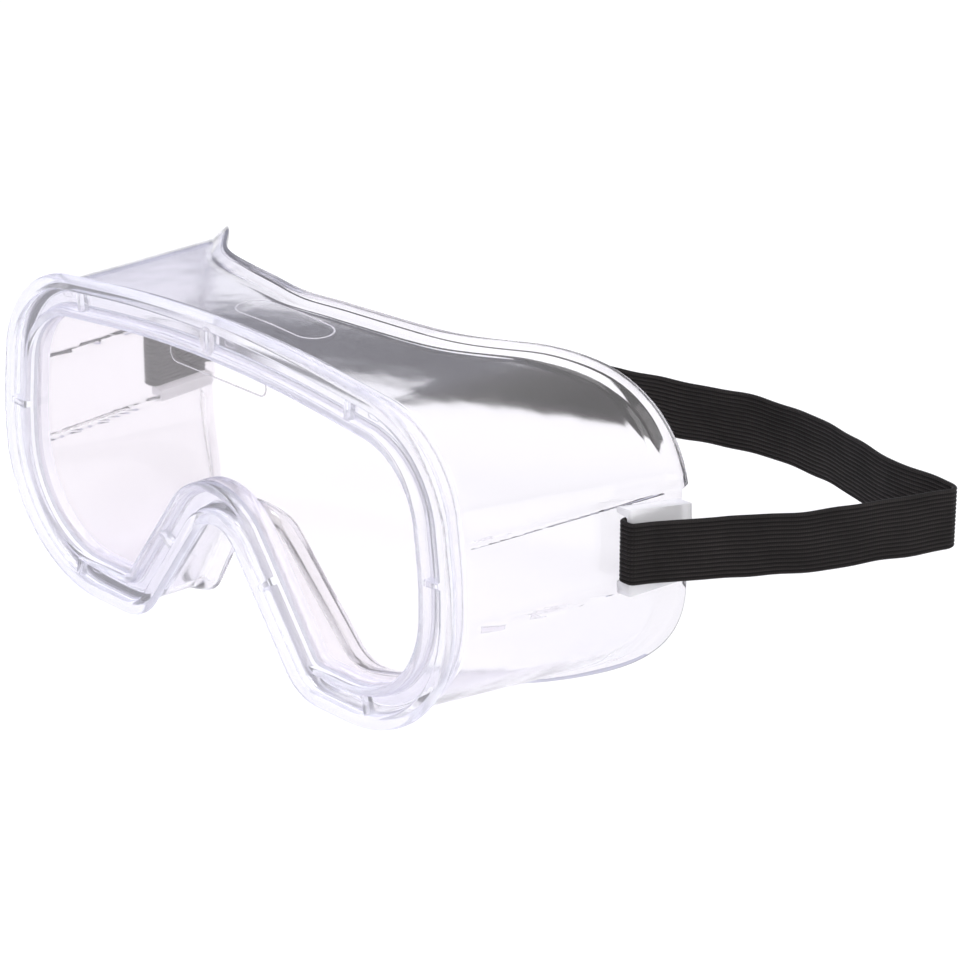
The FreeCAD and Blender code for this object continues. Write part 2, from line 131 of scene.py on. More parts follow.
class GogglesFrameSizes(bpy.types.PropertyGroup):
    """Sizes of the clear moulded frame."""

    half_width: length("Rim half width", 82.8, "The rim's widest corner, from the middle")
    crown: place("Crown", 26.9, "Top corner of the rim's outline, before its rounding")
    foot: length("Foot", -RIM_LOW.z, "Depth of the rim's foot below the origin")
    bead: length("Bead", 3.6, "Width of the outer bead of the rim")
    channel: length("Channel", 4.6, "Width of the channel between bead and inner lip")
    bead_back: place("Bead back", -0.6, "Back of the bead's overhang, from the lens face")
    flare: length("Flare", 3.2, "Each side at the back, outward of the rim's widest point")
    channel_depth: length("Channel depth", 2.2, "Depth of the channel")
    rim_width: length("Rim width", 10.3, "Rim, from the outer edge to the lens opening")
    groove: length("Lens groove", 2.8, "Depth of the groove that holds the lens")
    wall: length("Wall", 1.7, "Thickness of the wall")
    wall_inset: length("Wall inset", 2.4, "Wall's outer face at the rim, inward of the rim's edge")
    temple_depth: length("Temple depth", 67.5, "Back edge at the temples, behind the lens")
    forehead_depth: length("Forehead depth", 33.5, "Back edge at the middle of the forehead")
    chin_depth: place("Chin depth", -3.0, "The same curve carried down to the chin")
    lip_length: length("Lip length", 5.5, "Length of the soft lip along the back edge")
    lip_height: length("Lip height", 2.2, "How far the lip flares out of the wall")
    rib_height: length("Rib height", 1.05, "How far a side rib stands out of the wall")
    rib_thickness: length("Rib thickness", 1.4, "Thickness of a side rib")
    rib_start: length("Rib start", 5.5, "Where the side ribs begin, behind the lens")
    upper_rib: place("Upper rib", -9.8, "Height of the upper side rib")
    lower_rib: place("Lower rib", -31.0, "Height of the lower side rib")
    lug_front: length("Lug front", 47.2, "Front edge of the strap lug's plate")
    lug_length: length("Lug length", 18.0, "Length of the strap lug's plate")
    lug_slot: length("Lug slot", 2.6, "Gap between the wall and the lug's plate")
    lug_opening: length("Lug opening", 16.8, "Height of the opening that the strap passes through")
    lug_thickness: length("Lug thickness", 1.6, "Thickness of the lug's plate")
    post_width: length("Post width", 1.7, "Width of the posts that bridge the channel")
    post_height: length("Post height", 2.0, "Height of a post above the channel's floor")
    spacing: length("Mesh spacing", 1.5, "Distance between the moulding's cross-sections", 0.5, 5.0)


class GogglesMarkSizes(bpy.types.PropertyGroup):
    """Sizes of the small raised outlines on the frame and lens."""

    line: length("Line", 0.3, "Width of a raised outline")
    badge_width: length("Badge width", 30.0, "Plain oval outline on top of the frame")
    badge_depth: length("Badge depth", 10.0, "The same, from front to back")
    badge_x: place("Badge place", 7.0, "Middle of the oval, to the wearer's left")
    badge_y: length("Badge distance", 14.5, "Middle of the oval, behind the lens")
    panel_width: length("Lens panel width", 35.0, "Plain rounded outline at the top of the lens")
    panel_height: length("Lens panel height", 4.6, "Height of the same")
    panel_z: place("Lens panel place", 11.3, "Height of its middle")


class GogglesStrapSizes(bpy.types.PropertyGroup):
    """Sizes of the elastic strap."""

    width: length("Width", SIDE_HIGH.z - SIDE_LOW.z, "Width of the elastic")
    thickness: length("Thickness", 1.3, "Thickness of the elastic between its ribs' tops")
    gap: length("Gap", 0.4, "Gap between the elastic and what it lies on")
    tail: length("Tail", 17.5, "Length of the inner layer behind the lug")
    ribs: bpy.props.IntProperty(
        name="Ribs", default=15, min=2, max=40, description="Lengthwise ribs"
    )
    rib_depth: length("Rib depth", 0.6, "Depth of the groove between two ribs")
    split: length("Split", SIDE_HIGH.y, "Where the sides end and the rear length begins")
    pivot: length("Pivot", SIDE_LOW.y, "Where the swinging part of the strap begins")
    ripple: length("Ripple", 0.2, "How far the relaxed elastic waves up and down")
    spacing: length("Mesh spacing", 0.9, "Distance between cross-sections", 0.3, 5.0)


class GogglesColours(bpy.types.PropertyGroup):
    """Colours and finishes."""

    frame: colour("Frame", (0.905, 0.885, 0.9, 1.0), "Clear soft plastic")
    rim: colour("Rim", (0.965, 0.96, 0.975, 1.0), "Milky plastic where the frame is thick")
    # rim and frame edge colours: the plastic's faint tint, darker than the body colours as painted
    # shade on edges turned from view
    rim_tint_and_edge_shade: colour("Rim tint", (0.78, 0.78, 0.95, 1.0), "Faint blue in the rim's edges")
    frame_tint_and_edge_shade: colour("Frame tint", (0.86, 0.855, 0.925, 1.0), "Faint lavender in the thick edges")
    lens: colour("Lens", (0.935, 0.905, 0.92, 1.0), "Clear lens, faintly pink")
    strap: colour("Strap", (0.0055, 0.0046, 0.0046, 1.0), "Black elastic")
    # lighter colour of the threads: partly their own tone, partly painted highlight on the ribs'
    # tops
    strap_thread_and_highlight: colour("Strap threads", (0.050, 0.042, 0.041, 1.0), "Threads that catch the light")
    floor: colour("Floor", (0.93, 0.93, 0.935, 1.0), "Pale floor")
    frame_roughness: share("Frame roughness", 0.05, "Soft plastic's roughness")
    frame_haze: share("Frame haze", 0.03, "How milky the thin wall is")
    rim_haze: share("Rim haze", 0.24, "How milky the thick rim is")
    lug_haze: share("Lug haze", 0.6, "How milky the thick strap lugs are")
    lens_roughness: share("Lens roughness", 0.02, "Lens's roughness")


GROUPS = (
    ("goggles_frame", GogglesFrameSizes),
    ("goggles_marks", GogglesMarkSizes),
    ("goggles_strap", GogglesStrapSizes),
    ("goggles_colours", GogglesColours),
)


# ---- outlines


def turn_at(before, corner, after):
    """Signed turn of a path at one of its corners, in radians."""
    first = math.atan2(corner[1] - before[1], corner[0] - before[0])
    second = math.atan2(after[1] - corner[1], after[0] - corner[0])
    return (second - first + math.pi) % (2 * math.pi) - math.pi


def offset_corners(corners, inward):
    """The closed path moved to its right, with its corner radii changed to suit."""
    count = len(corners)
    moved = []
    for i, (x, z, radius) in enumerate(corners):
        before, after = corners[i - 1], corners[(i + 1) % count]
        turn = turn_at(before, (x, z), after)
        start = math.atan2(z - before[1], x - before[0])
        middle = start + turn / 2
        reach = inward / math.cos(turn / 2)
        new_radius = radius + inward if turn > 0 else radius - inward
        moved.append((x + reach * math.sin(middle), z - reach * math.cos(middle), new_radius))
    return moved


class RoundedPath:
    """Straight runs joined by tangent arcs; a place on it is a corner's number plus a share."""

    def __init__(self, corners, closed=True):
        self.arcs = []
        self.count = len(corners)
        for i, (x, z, radius) in enumerate(corners):
            here = np.array((x, z))
            if not closed and i in (0, self.count - 1):
                self.arcs.append((here, None, 0.0, here))
                continue
            before = np.array(corners[i - 1][:2])
            after = np.array(corners[(i + 1) % self.count][:2])
            turn = turn_at(before, here, after)
            reach = radius * math.tan(abs(turn) / 2)
            start = here + reach * (before - here) / np.linalg.norm(before - here)
            end = here + reach * (after - here) / np.linalg.norm(after - here)
            heading = math.atan2(*(here - before)[::-1])
            side = math.copysign(1.0, turn)
            centre = start + side * radius * np.array((-math.sin(heading), math.cos(heading)))
            circle = (centre, radius, heading - side * math.pi / 2)
            self.arcs.append((start, circle, turn, end))

    def at(self, place):
        """The point at a place: 0 to 0.5 past a corner's number is its arc, the rest the run."""
        index = int(math.floor(place)) % self.count
        part = place - math.floor(place)
        _start, circle, turn, end = self.arcs[index]
        if part < 0.5:
            if circle is None:
                return end
            centre, radius, angle = circle
            now = angle + turn * part * 2
            return centre + radius * np.array((math.cos(now), math.sin(now)))
        follow = self.arcs[(index + 1) % self.count][0]
        return end + (follow - end) * (part - 0.5) * 2


# points per corner of the table that turns lengths into places, and the least distance in mm
# between two cross-sections
TABLE_POINTS, LEAST_GAP = 400, 0.05


def places_along(path, spacing, extra=()):
    """Places spread evenly along a closed path, with more of them at chosen lengths."""
    fine = np.linspace(0, path.count, path.count * TABLE_POINTS, endpoint=False)
    points = np.array([path.at(t) for t in fine])
    points = np.vstack([points, points[:1]])
    fine = np.append(fine, path.count)
    run = np.concatenate([[0], np.cumsum(np.linalg.norm(np.diff(points, axis=0), axis=1))])
    wanted = list(np.linspace(0, run[-1], int(run[-1] / spacing) + 1, endpoint=False))
    fixed = sorted(w % run[-1] for w in extra)
    clear = [w for w in wanted if all(abs(w - f) > spacing * 0.3 for f in fixed)]
    lengths = sorted(clear + fixed)
    kept = [lengths[0]]
    for value in lengths[1:]:
        if value - kept[-1] > LEAST_GAP:
            kept.append(value)
    return np.interp(kept, run, fine), np.array(kept), fine, run, points


# ---- meshes


def finish_mesh(name, verts, faces, material, body=None, sharp=38.0, uvs=None):
    """A mesh object from points in millimetres, shaded smooth between its sharp edges."""
    mesh = bpy.data.meshes.new(name)
    mesh.from_pydata([tuple(c * MM for c in v) for v in verts], [], faces)
    if uvs is not None:
        layer = mesh.uv_layers.new(name="cloth")
        for loop in mesh.loops:
            layer.data[loop.index].uv = uvs[loop.vertex_index]
    bm = bmesh.new()
    bm.from_mesh(mesh)
    bmesh.ops.recalc_face_normals(bm, faces=bm.faces)
    for face in bm.faces:
        face.smooth = True
    limit = math.radians(sharp)
    for edge in bm.edges:
        edge.smooth = not (len(edge.link_faces) == 2 and edge.calc_face_angle(0.0) > limit)
    bm.to_mesh(mesh)
    bm.free()
    mesh.materials.append(material)
    obj = bpy.data.objects.new(name, mesh)
    bpy.context.scene.collection.objects.link(obj)
    if body:
        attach(obj, body)
    return obj


def ring_faces(rows, columns, closed_rows=True, closed_columns=True):
    """Faces of a grid of rows and columns, joined round where it is closed."""
    faces = []
    for i in range(rows if closed_rows else rows - 1):
        for j in range(columns if closed_columns else columns - 1):
            a, b = i * columns + j, i * columns + (j + 1) % columns
            c = ((i + 1) % rows) * columns
            faces.append((a, b, c + (j + 1) % columns, c + j))
    return faces


def end_caps(rows, columns):
    """Flat ends for a tube of sections."""
    first = tuple(range(columns))
    last = tuple((rows - 1) * columns + j for j in reversed(range(columns)))
    return [first, last]


def smooth_step(value):
    """A soft rise from 0 to 1 as the value goes from 0 to 1."""
    value = min(1.0, max(0.0, value))
    return value * value * (3 - 2 * value)


def bump_at(distance, half, soften):
    """1 within half of the middle, falling to 0 over soften."""
    return 1 - smooth_step((abs(distance) - half + soften / 2) / soften)


# ---- the moulding's form

# the back edge in plan: share of the half width, share of the way back to the temples
BROW_PLAN = (
    (0.0, 0.0), (0.29, 0.05), (0.49, 0.24), (0.67, 0.59), (0.83, 0.85), (1.0, 0.98), (1.2, 1.0)
)  # fmt: skip
CHIN_PLAN = (
    (0.0, 0.0), (0.16, 0.15), (0.31, 0.26), (0.48, 0.34),
    (0.69, 0.62), (0.83, 0.84), (1.0, 0.98), (1.2, 1.0),
)  # fmt: skip
# heights at which the two plans hold
FACE_TOP, FACE_FOOT = 45.0, -77.0
# heights of the rim's widest point and of the nose notch's peak
WIDE_Z, NOSE_Z = -18.0, -21.0
# corners of the rim's outline: insets from the widest point, drop below the crown, roundings
BROW_INSET, BROW_DROP, CHEEK_INSET, NOTCH_HALF_WIDTH = 4.5, 8.6, 0.5, 29.5
CROWN_RADIUS, BROW_RADIUS, WIDE_RADIUS = 380.0, 29.0, 90.0
CHEEK_RADIUS, NOTCH_RADIUS, NOSE_RADIUS = 35.5, 13.0, 9.0
# the same for the outline at the back, where it differs
REAR_CROWN_DROP, REAR_BROW_DROP, REAR_BROW_INSET, REAR_BROW_RADIUS = 2.6, 11.1, 1.6, 34.0
REAR_CHEEK_INSET, REAR_FOOT_RISE, REAR_CHEEK_RADIUS = 1.2, 1.2, 25.0
REAR_NOSE_RISE, REAR_NOSE_RADIUS = 6.0, 12.0
# places on the outlines between which the side walls lie, on the left and on the right
SIDE_PLACES = {1: (1.5, 3.0), -1: (7.0, 8.5)}


def plan_rise(plan, value):
    """Smooth curve through a plan's points, level at the middle and at its end."""
    value = min(abs(value), plan[-1][0])
    xs, ys = [p[0] for p in plan], [p[1] for p in plan]
    xs, ys = [-xs[1]] + xs + [2 * xs[-1] - xs[-2]], [ys[1]] + ys + [ys[-1]]
    i = max(k for k in range(1, len(xs) - 2) if value >= xs[k] - 1e-9)
    t = (value - xs[i]) / (xs[i + 1] - xs[i])
    step = xs[i + 1] - xs[i]
    m0 = (ys[i + 1] - ys[i - 1]) / (xs[i + 1] - xs[i - 1]) * step
    m1 = (ys[i + 2] - ys[i]) / (xs[i + 2] - xs[i]) * step
    a, b = 2 * t**3 - 3 * t**2 + 1, t**3 - 2 * t**2 + t
    return a * ys[i] + b * m0 + (1 - a) * ys[i + 1] + (t**3 - t**2) * m1


def mirrored(*half):
    """A closed outline from the corners of its left half, top to bottom."""
    return list(half) + [(-x, z, radius) for x, z, radius in reversed(half[1:-1])]


class Moulding:
    """The frame's outlines and the surfaces that its pieces lie on."""

    RIM_FRONT, RIM_BACK = -3.2, 4.6

    def __init__(self, sizes):
        self.s = sizes
        side, crown, foot = sizes.half_width, sizes.crown, -sizes.foot
        rear, rear_foot = side + sizes.flare, foot + REAR_FOOT_RISE
        self.outlines = {
            "rim": mirrored(
                (0.0, crown, CROWN_RADIUS),
                (side - BROW_INSET, crown - BROW_DROP, BROW_RADIUS),
                (side, WIDE_Z, WIDE_RADIUS),
                (side - CHEEK_INSET, foot, CHEEK_RADIUS),
                (NOTCH_HALF_WIDTH, foot, NOTCH_RADIUS),
                (0.0, NOSE_Z, NOSE_RADIUS),
            ),
            "rear": mirrored(
                (0.0, crown - REAR_CROWN_DROP, CROWN_RADIUS),
                (rear - REAR_BROW_INSET, crown - REAR_BROW_DROP, REAR_BROW_RADIUS),
                (rear, WIDE_Z, WIDE_RADIUS),
                (rear - REAR_CHEEK_INSET, rear_foot, REAR_CHEEK_RADIUS),
                (NOTCH_HALF_WIDTH, rear_foot, NOTCH_RADIUS),
                (0.0, NOSE_Z + REAR_NOSE_RISE, REAR_NOSE_RADIUS),
            ),
        }
        self.paths = {}

    def path(self, kind, inward):
        """The rim's or the rear outline moved inward, kept once made."""
        key = (kind, round(inward, 3))
        if key not in self.paths:
            self.paths[key] = RoundedPath(offset_corners(self.outlines[kind], inward))
        return self.paths[key]

    def rim_point(self, place, inward, y):
        """On the rim: inward of its outer edge, at a depth y."""
        x, z = self.path("rim", inward).at(place)
        return x, y, z

    def wall_point(self, place, inward, y):
        """On the wall: inward of its outer face, at a depth y behind the lens."""
        along = (y - self.RIM_BACK) / (self.s.temple_depth - self.RIM_BACK)
        near = self.path("rim", self.s.wall_inset + round(inward, 1)).at(place)
        far = self.path("rear", round(inward, 1)).at(place)
        x, z = near + (far - near) * along
        rest = inward - round(inward, 1)
        if abs(rest) > 1e-6:
            nx, nz = self.inward_at(place)
            x, z = x + nx * rest, z + nz * rest
        return x, y, z

    def inward_at(self, place):
        """The direction that points inward from the wall here."""
        a = self.path("rim", self.s.wall_inset).at(place)
        b = self.path("rim", self.s.wall_inset + 1.0).at(place)
        return b - a

    def face_depth(self, x, z):
        """Where the wearer's face stands at this height and side."""
        reach = self.s.half_width + self.s.flare
        temple = self.s.temple_depth
        brow = self.s.forehead_depth
        chin = self.s.chin_depth
        top = brow + (temple - brow) * plan_rise(BROW_PLAN, x / reach)
        low = chin + (temple - chin) * plan_rise(CHIN_PLAN, x / reach)
        return low + (top - low) * (z - FACE_FOOT) / (FACE_TOP - FACE_FOOT)

    def end_depth(self, place, inward):
        """The depth at which the wall meets the wearer's face."""
        y = self.s.temple_depth * 0.6
        for _ in range(14):
            x, _y, z = self.wall_point(place, inward, y)
            y += (self.face_depth(x, z) - y) * 0.7
        return y

    def side_place(self, z, inward, y, way):
        """The place on the side wall, on one side of the head, at a height z."""
        low, high = SIDE_PLACES[way]
        for _ in range(40):
            middle = (low + high) / 2
            lower = self.wall_point(middle, inward, y)[2] < z
            if lower == (way > 0):
                high = middle
            else:
                low = middle
        return (low + high) / 2

    def side_point(self, z, inward, y, way):
        """On the side wall at a height z: inward of its outer face, at a depth y."""
        return self.wall_point(self.side_place(z, inward, y, way), inward, y)


# ---- materials


def set_inputs(tree, node, inputs):
    """Give a node's inputs their values, or link them where the value is another node's socket."""
    for key, value in inputs.items():
        if isinstance(value, bpy.types.NodeSocket):
            tree.links.new(value, node.inputs[key])
        else:
            node.inputs[key].default_value = value


def new_node(tree, kind, x, y, inputs=None, **settings):
    """A node at a place in the tree, with its settings and then its inputs."""
    node = tree.nodes.new(kind)
    node.location = (x, y)
    for key, value in settings.items():
        setattr(node, key, value)
    set_inputs(tree, node, inputs or {})
    return node


def colour_mix(tree, x, y, factor, first, second):
    """The mix of two colours."""
    inputs = {"Factor": factor, "A": first, "B": second}
    return new_node(tree, "ShaderNodeMix", x, y, inputs, data_type="RGBA").outputs["Result"]


def grain_group():
    """Fine moulded grain: a roughness and a surface normal that vary over the plastic."""
    name = "moulded_grain"
    if name in bpy.data.node_groups:
        return bpy.data.node_groups[name]
    tree = bpy.data.node_groups.new(name, "ShaderNodeTree")
    number, vector = "NodeSocketFloat", "NodeSocketVector"
    starts = {"Scale": 1.0, "Roughness": 0.05, "Unevenness": 0.03, "Waviness": 0.1}
    starts["Wave Depth"] = 0.0002
    for label, value in starts.items():
        socket = tree.interface.new_socket(name=label, in_out="INPUT", socket_type=number)
        socket.default_value = value
    for label, kind in (("Roughness", number), ("Normal", vector)):
        tree.interface.new_socket(name=label, in_out="OUTPUT", socket_type=kind)
    given = new_node(tree, "NodeGroupInput", -900, 0).outputs
    place_in = new_node(tree, "ShaderNodeTexCoord", -900, 300)
    inputs = {0: place_in.outputs["Object"], "Scale": given["Scale"]}
    scaled = new_node(tree, "ShaderNodeVectorMath", -700, 200, inputs, operation="SCALE").outputs[0]
    inputs = {"Vector": scaled, "Scale": 45.0, "Detail": 2.0}
    slow = new_node(tree, "ShaderNodeTexNoise", -450, 250, inputs)
    inputs = {"Vector": scaled, "Scale": 420.0, "Detail": 4.0}
    fine = new_node(tree, "ShaderNodeTexNoise", -450, -50, inputs)
    inputs = {0: fine.outputs["Fac"], 1: given["Unevenness"], 2: given["Roughness"]}
    uneven = new_node(tree, "ShaderNodeMath", -200, -50, inputs, operation="MULTIPLY_ADD")
    inputs = {"Strength": given["Waviness"], "Distance": given["Wave Depth"]}
    bump = new_node(tree, "ShaderNodeBump", 200, 200, {"Height": slow.outputs["Fac"], **inputs})
    inputs = {"Roughness": uneven.outputs[0], "Normal": bump.outputs["Normal"]}
    new_node(tree, "NodeGroupOutput", 600, 0, inputs)
    return tree


GRAIN_INPUTS = ("Roughness", "Unevenness", "Waviness", "Wave Depth")


def clear_material(name, base, edge, grain_values, ior, haze, shine):
    """Clear plastic that lets lamps through, with a faint tint and painted shade on the edges that
    turn away from view.
    """
    made = bpy.data.materials.new(name)
    made.use_nodes = True
    tree = made.node_tree
    tree.nodes.clear()
    grain = new_node(tree, "ShaderNodeGroup", -300, -200, node_tree=grain_group())
    set_inputs(tree, grain, dict(zip(GRAIN_INPUTS, grain_values)))
    # toward edges that turn from view the colour blends to the edge colour: the plastic's faint
    # tint with painted shade
    facing = new_node(tree, "ShaderNodeLayerWeight", -500, 200, {"Blend": 0.35})
    inputs = {
        "Base Color": colour_mix(tree, -200, 200, facing.outputs["Facing"], base, edge),
        "Roughness": grain.outputs["Roughness"],
        "Normal": grain.outputs["Normal"],
        "Transmission Weight": 1.0 - haze,
        "Specular IOR Level": shine,
        "IOR": ior,
    }
    shader = new_node(tree, "ShaderNodeBsdfPrincipled", 100, 0, inputs)
    inputs = {"Color": (0.97, 0.97, 0.98, 1.0)}
    passing = new_node(tree, "ShaderNodeBsdfTransparent", 100, -400, inputs)
    path = new_node(tree, "ShaderNodeLightPath", 100, 400)
    inputs = {"Fac": path.outputs["Is Shadow Ray"], 1: shader.outputs[0], 2: passing.outputs[0]}
    mix = new_node(tree, "ShaderNodeMixShader", 450, 0, inputs)
    new_node(tree, "ShaderNodeOutputMaterial", 700, 0, {"Surface": mix.outputs[0]})
    return made


# distance in mm between the elastic's cross threads
THREAD_PITCH = 0.55


def elastic_material(name, base, thread_and_highlight_colour):
    """Black ribbed elastic: cross threads over each lengthwise rib, with a little fuzz and a
    painted highlight on the ribs' tops.
    """
    made = bpy.data.materials.new(name)
    made.use_nodes = True
    tree = made.node_tree
    place_in = new_node(tree, "ShaderNodeTexCoord", -1500, 0)
    parts = new_node(tree, "ShaderNodeSeparateXYZ", -1300, 0, {0: place_in.outputs["UV"]})

    def maths(operation, x, y, *values):
        inputs = dict(enumerate(values))
        return new_node(tree, "ShaderNodeMath", x, y, inputs, operation=operation).outputs[0]

    def noise(x, y, **inputs):
        inputs["Vector"] = place_in.outputs["Object"]
        return new_node(tree, "ShaderNodeTexNoise", x, y, inputs).outputs["Fac"]

    across, along = parts.outputs["X"], parts.outputs["Y"]
    slant = maths("PINGPONG", -1100, 200, across, 0.5)
    lean = maths("MULTIPLY", -950, 200, slant, 7.0)
    turns = maths("MULTIPLY", -1100, -100, along, 2 * math.pi / THREAD_PITCH)
    phase = maths("ADD", -800, 0, turns, lean)
    thread = maths("SINE", -650, 0, phase)
    raised = maths("MULTIPLY_ADD", -500, 0, thread, 0.5, 0.5)
    fuzz = noise(-800, -300, Scale=2600.0, Detail=5.0)
    patches = noise(-800, -550, Scale=90.0)
    height = maths("MULTIPLY_ADD", -300, -100, fuzz, 0.6, raised)
    inputs = {"Strength": 0.22, "Distance": 0.00012, "Height": height}
    bump = new_node(tree, "ShaderNodeBump", -100, -250, inputs)
    # the threads' lighter tone shows on the ribs' tops as a painted highlight and fades into the
    # grooves between them, which keep the darker colour as painted shade
    rib_top_highlight = maths("MULTIPLY", -450, 250, slant, patches)
    threads = maths("MULTIPLY_ADD", -450, 150, raised, 1.2, 1.0)
    lightened = maths("MULTIPLY", -300, 150, rib_top_highlight, threads)
    inputs = {
        "Base Color": colour_mix(tree, -100, 200, lightened, base, thread_and_highlight_colour),
        "Roughness": maths("MULTIPLY_ADD", -100, 0, fuzz, 0.25, 0.58),
        "Normal": bump.outputs["Normal"],
        "Specular IOR Level": 0.2,
        "Sheen Weight": 0.04,
        "Sheen Roughness": 0.45,
    }
    set_inputs(tree, tree.nodes["Principled BSDF"], inputs)
    return made


def material(name):
    """One of the goggles' materials, made on first use."""
    if name in bpy.data.materials:
        return bpy.data.materials[name]
    c = bpy.context.scene.goggles_colours
    if name == "black_elastic":
        return elastic_material(name, c.strap, c.strap_thread_and_highlight)
    # colours, then the grain's four inputs, refraction, haze and shine
    frame_grain = (c.frame_roughness, 0.05, 0.35, 0.0006)
    lens_grain = (c.lens_roughness, 0.015, 0.05, 0.0001)
    finishes = {
        "clear_frame_plastic": (c.frame, c.frame_tint_and_edge_shade, frame_grain, 1.42, c.frame_haze, 0.45),
        "milky_rim_plastic": (c.rim, c.rim_tint_and_edge_shade, (0.11, 0.05, 0.2, 0.0004), 1.3, c.rim_haze, 0.45),
        "lug_plastic": (c.rim, c.rim, (0.12, 0.05, 0.35, 0.0006), 1.3, c.lug_haze, 0.4),
        "clear_lens_plastic": (c.lens, c.lens, lens_grain, 1.5, 0.0, 0.18),
        "raised_line_plastic": (c.frame, c.frame_tint_and_edge_shade, (0.18, 0.1, 0.1, 0.0001), 1.49, 0.25, 0.5),
    }
    return clear_material(name, *finishes[name])


# ---- frame pieces


# distances from a post's middle at which cross-sections stand, and how softly its sides rise
POST_STATIONS, POST_SOFTEN = np.array([0.0, 0.25, 0.5, 0.65, 0.8, 0.95, 1.2]), 0.3
# margin beside the strip that a side rib runs through, and the cross-sections' spacing over it
RIB_MARGIN, RIB_SPACING = 1.3, 0.25
# shares of the way along the wall and along its back lip at which the mesh has points
WALL_STEPS = (0.0, 0.02, 0.035, 0.05, 0.065) + tuple(np.linspace(0.1, 1.0, 17))
LIP_STEPS = (0.12, 0.28, 0.46, 0.64, 0.82, 0.96)
# how far in from the rim's widest point a wall still counts as a side
SIDE_REACH = 17


def post_lengths(form, run, points):
    """Lengths along the channel at which the nine posts stand."""
    side, crown, foot = form.s.half_width, form.s.crown, -form.s.foot
    spots = [(0.0, crown)]
    for way in (1, -1):
        spots.append((way * (side - BROW_INSET) * 0.64, crown))
        spots.append((way * side * 1.1, WIDE_Z + 1.5))
        spots.append((way * (side - CHEEK_INSET) * 0.69, foot * 1.1))
        spots.append((way * 12.0, foot * 0.67))
    found = []
    for spot in spots:
        away = np.linalg.norm(points - np.array(spot), axis=1)
        found.append(run[int(np.argmin(away[:-1]))])
    return found


def arc(centre_in, centre_y, radius, start, end, steps):
    """Points of a rounded edge in a cross-section, in degrees from inward to back."""
    made = []
    for k in range(steps + 1):
        angle = math.radians(start + (end - start) * k / steps)
        made.append((centre_in + radius * math.cos(angle), centre_y + radius * math.sin(angle)))
    return made


def rim_section(s):
    """The rim's cross-section, from the wall's outer face round the front to its inner face.

    A row is how far inward and how deep.  One that starts with "floor" rises at the posts.
    """
    front, back = Moulding.RIM_FRONT, Moulding.RIM_BACK
    floor = front + s.channel_depth
    edge = s.bead + s.channel
    step = s.bead_back
    inset, width, hold = s.wall_inset, s.rim_width, s.rim_width - s.groove
    # the wall's root and the bead
    rows = [(inset, back), (inset, 2.4), (inset, step + 0.6)]
    rows += [(inset - 0.12, step + 0.15), (inset - 0.5, step), (1.2, step)]
    rows += arc(0.7, step - 0.7, 0.7, 90, 180, 4)
    rows += arc(1.4, front + 1.4, 1.4, 180, 270, 7)
    rows += arc(s.bead - 0.7, front + 0.7, 0.7, 270, 360, 4)
    # the channel's floor
    rows += [("floor", s.bead + 0.03, floor - 0.5), ("floor", s.bead + 0.2, floor - 0.12)]
    rows += [("floor", s.bead + 0.6, floor), ("floor", s.bead + 1.6, floor)]
    rows += [("floor", edge - 0.6, floor), ("floor", edge - 0.2, floor - 0.12)]
    rows += [("floor", edge - 0.03, floor - 0.5)]
    # the inner lip and the groove that holds the lens
    rows += arc(edge + 0.7, front + 0.7, 0.7, 180, 270, 4)
    rows += arc(width - 0.7, front + 0.7, 0.7, 270, 360, 4)
    rows += [(width, -1.2), (width, -0.25), (width - 0.2, -0.05)]
    rows += [(hold + 0.1, -0.05), (hold, 0.05), (hold, 1.55), (hold + 0.1, 1.65)]
    rows += [(width - 0.2, 1.65), (width, 1.85), (width, 3.2)]
    # the back face
    rows += arc(width - 0.6, back - 0.6, 0.6, 0, 90, 3)
    rows += [(7.4, back), (5.6, back), (inset + s.wall + 0.7, back)]
    return rows


def rim_points(form, rows, spot, post):
    """The rim's part of one cross-section, with its channel's floor raised by a post's height."""
    highest = Moulding.RIM_FRONT + form.s.channel_depth - post
    section = []
    for row in rows:
        if row[0] == "floor":
            section.append(form.rim_point(spot, row[1], min(row[2], highest)))
        else:
            section.append(form.rim_point(spot, row[0], row[1]))
    return section


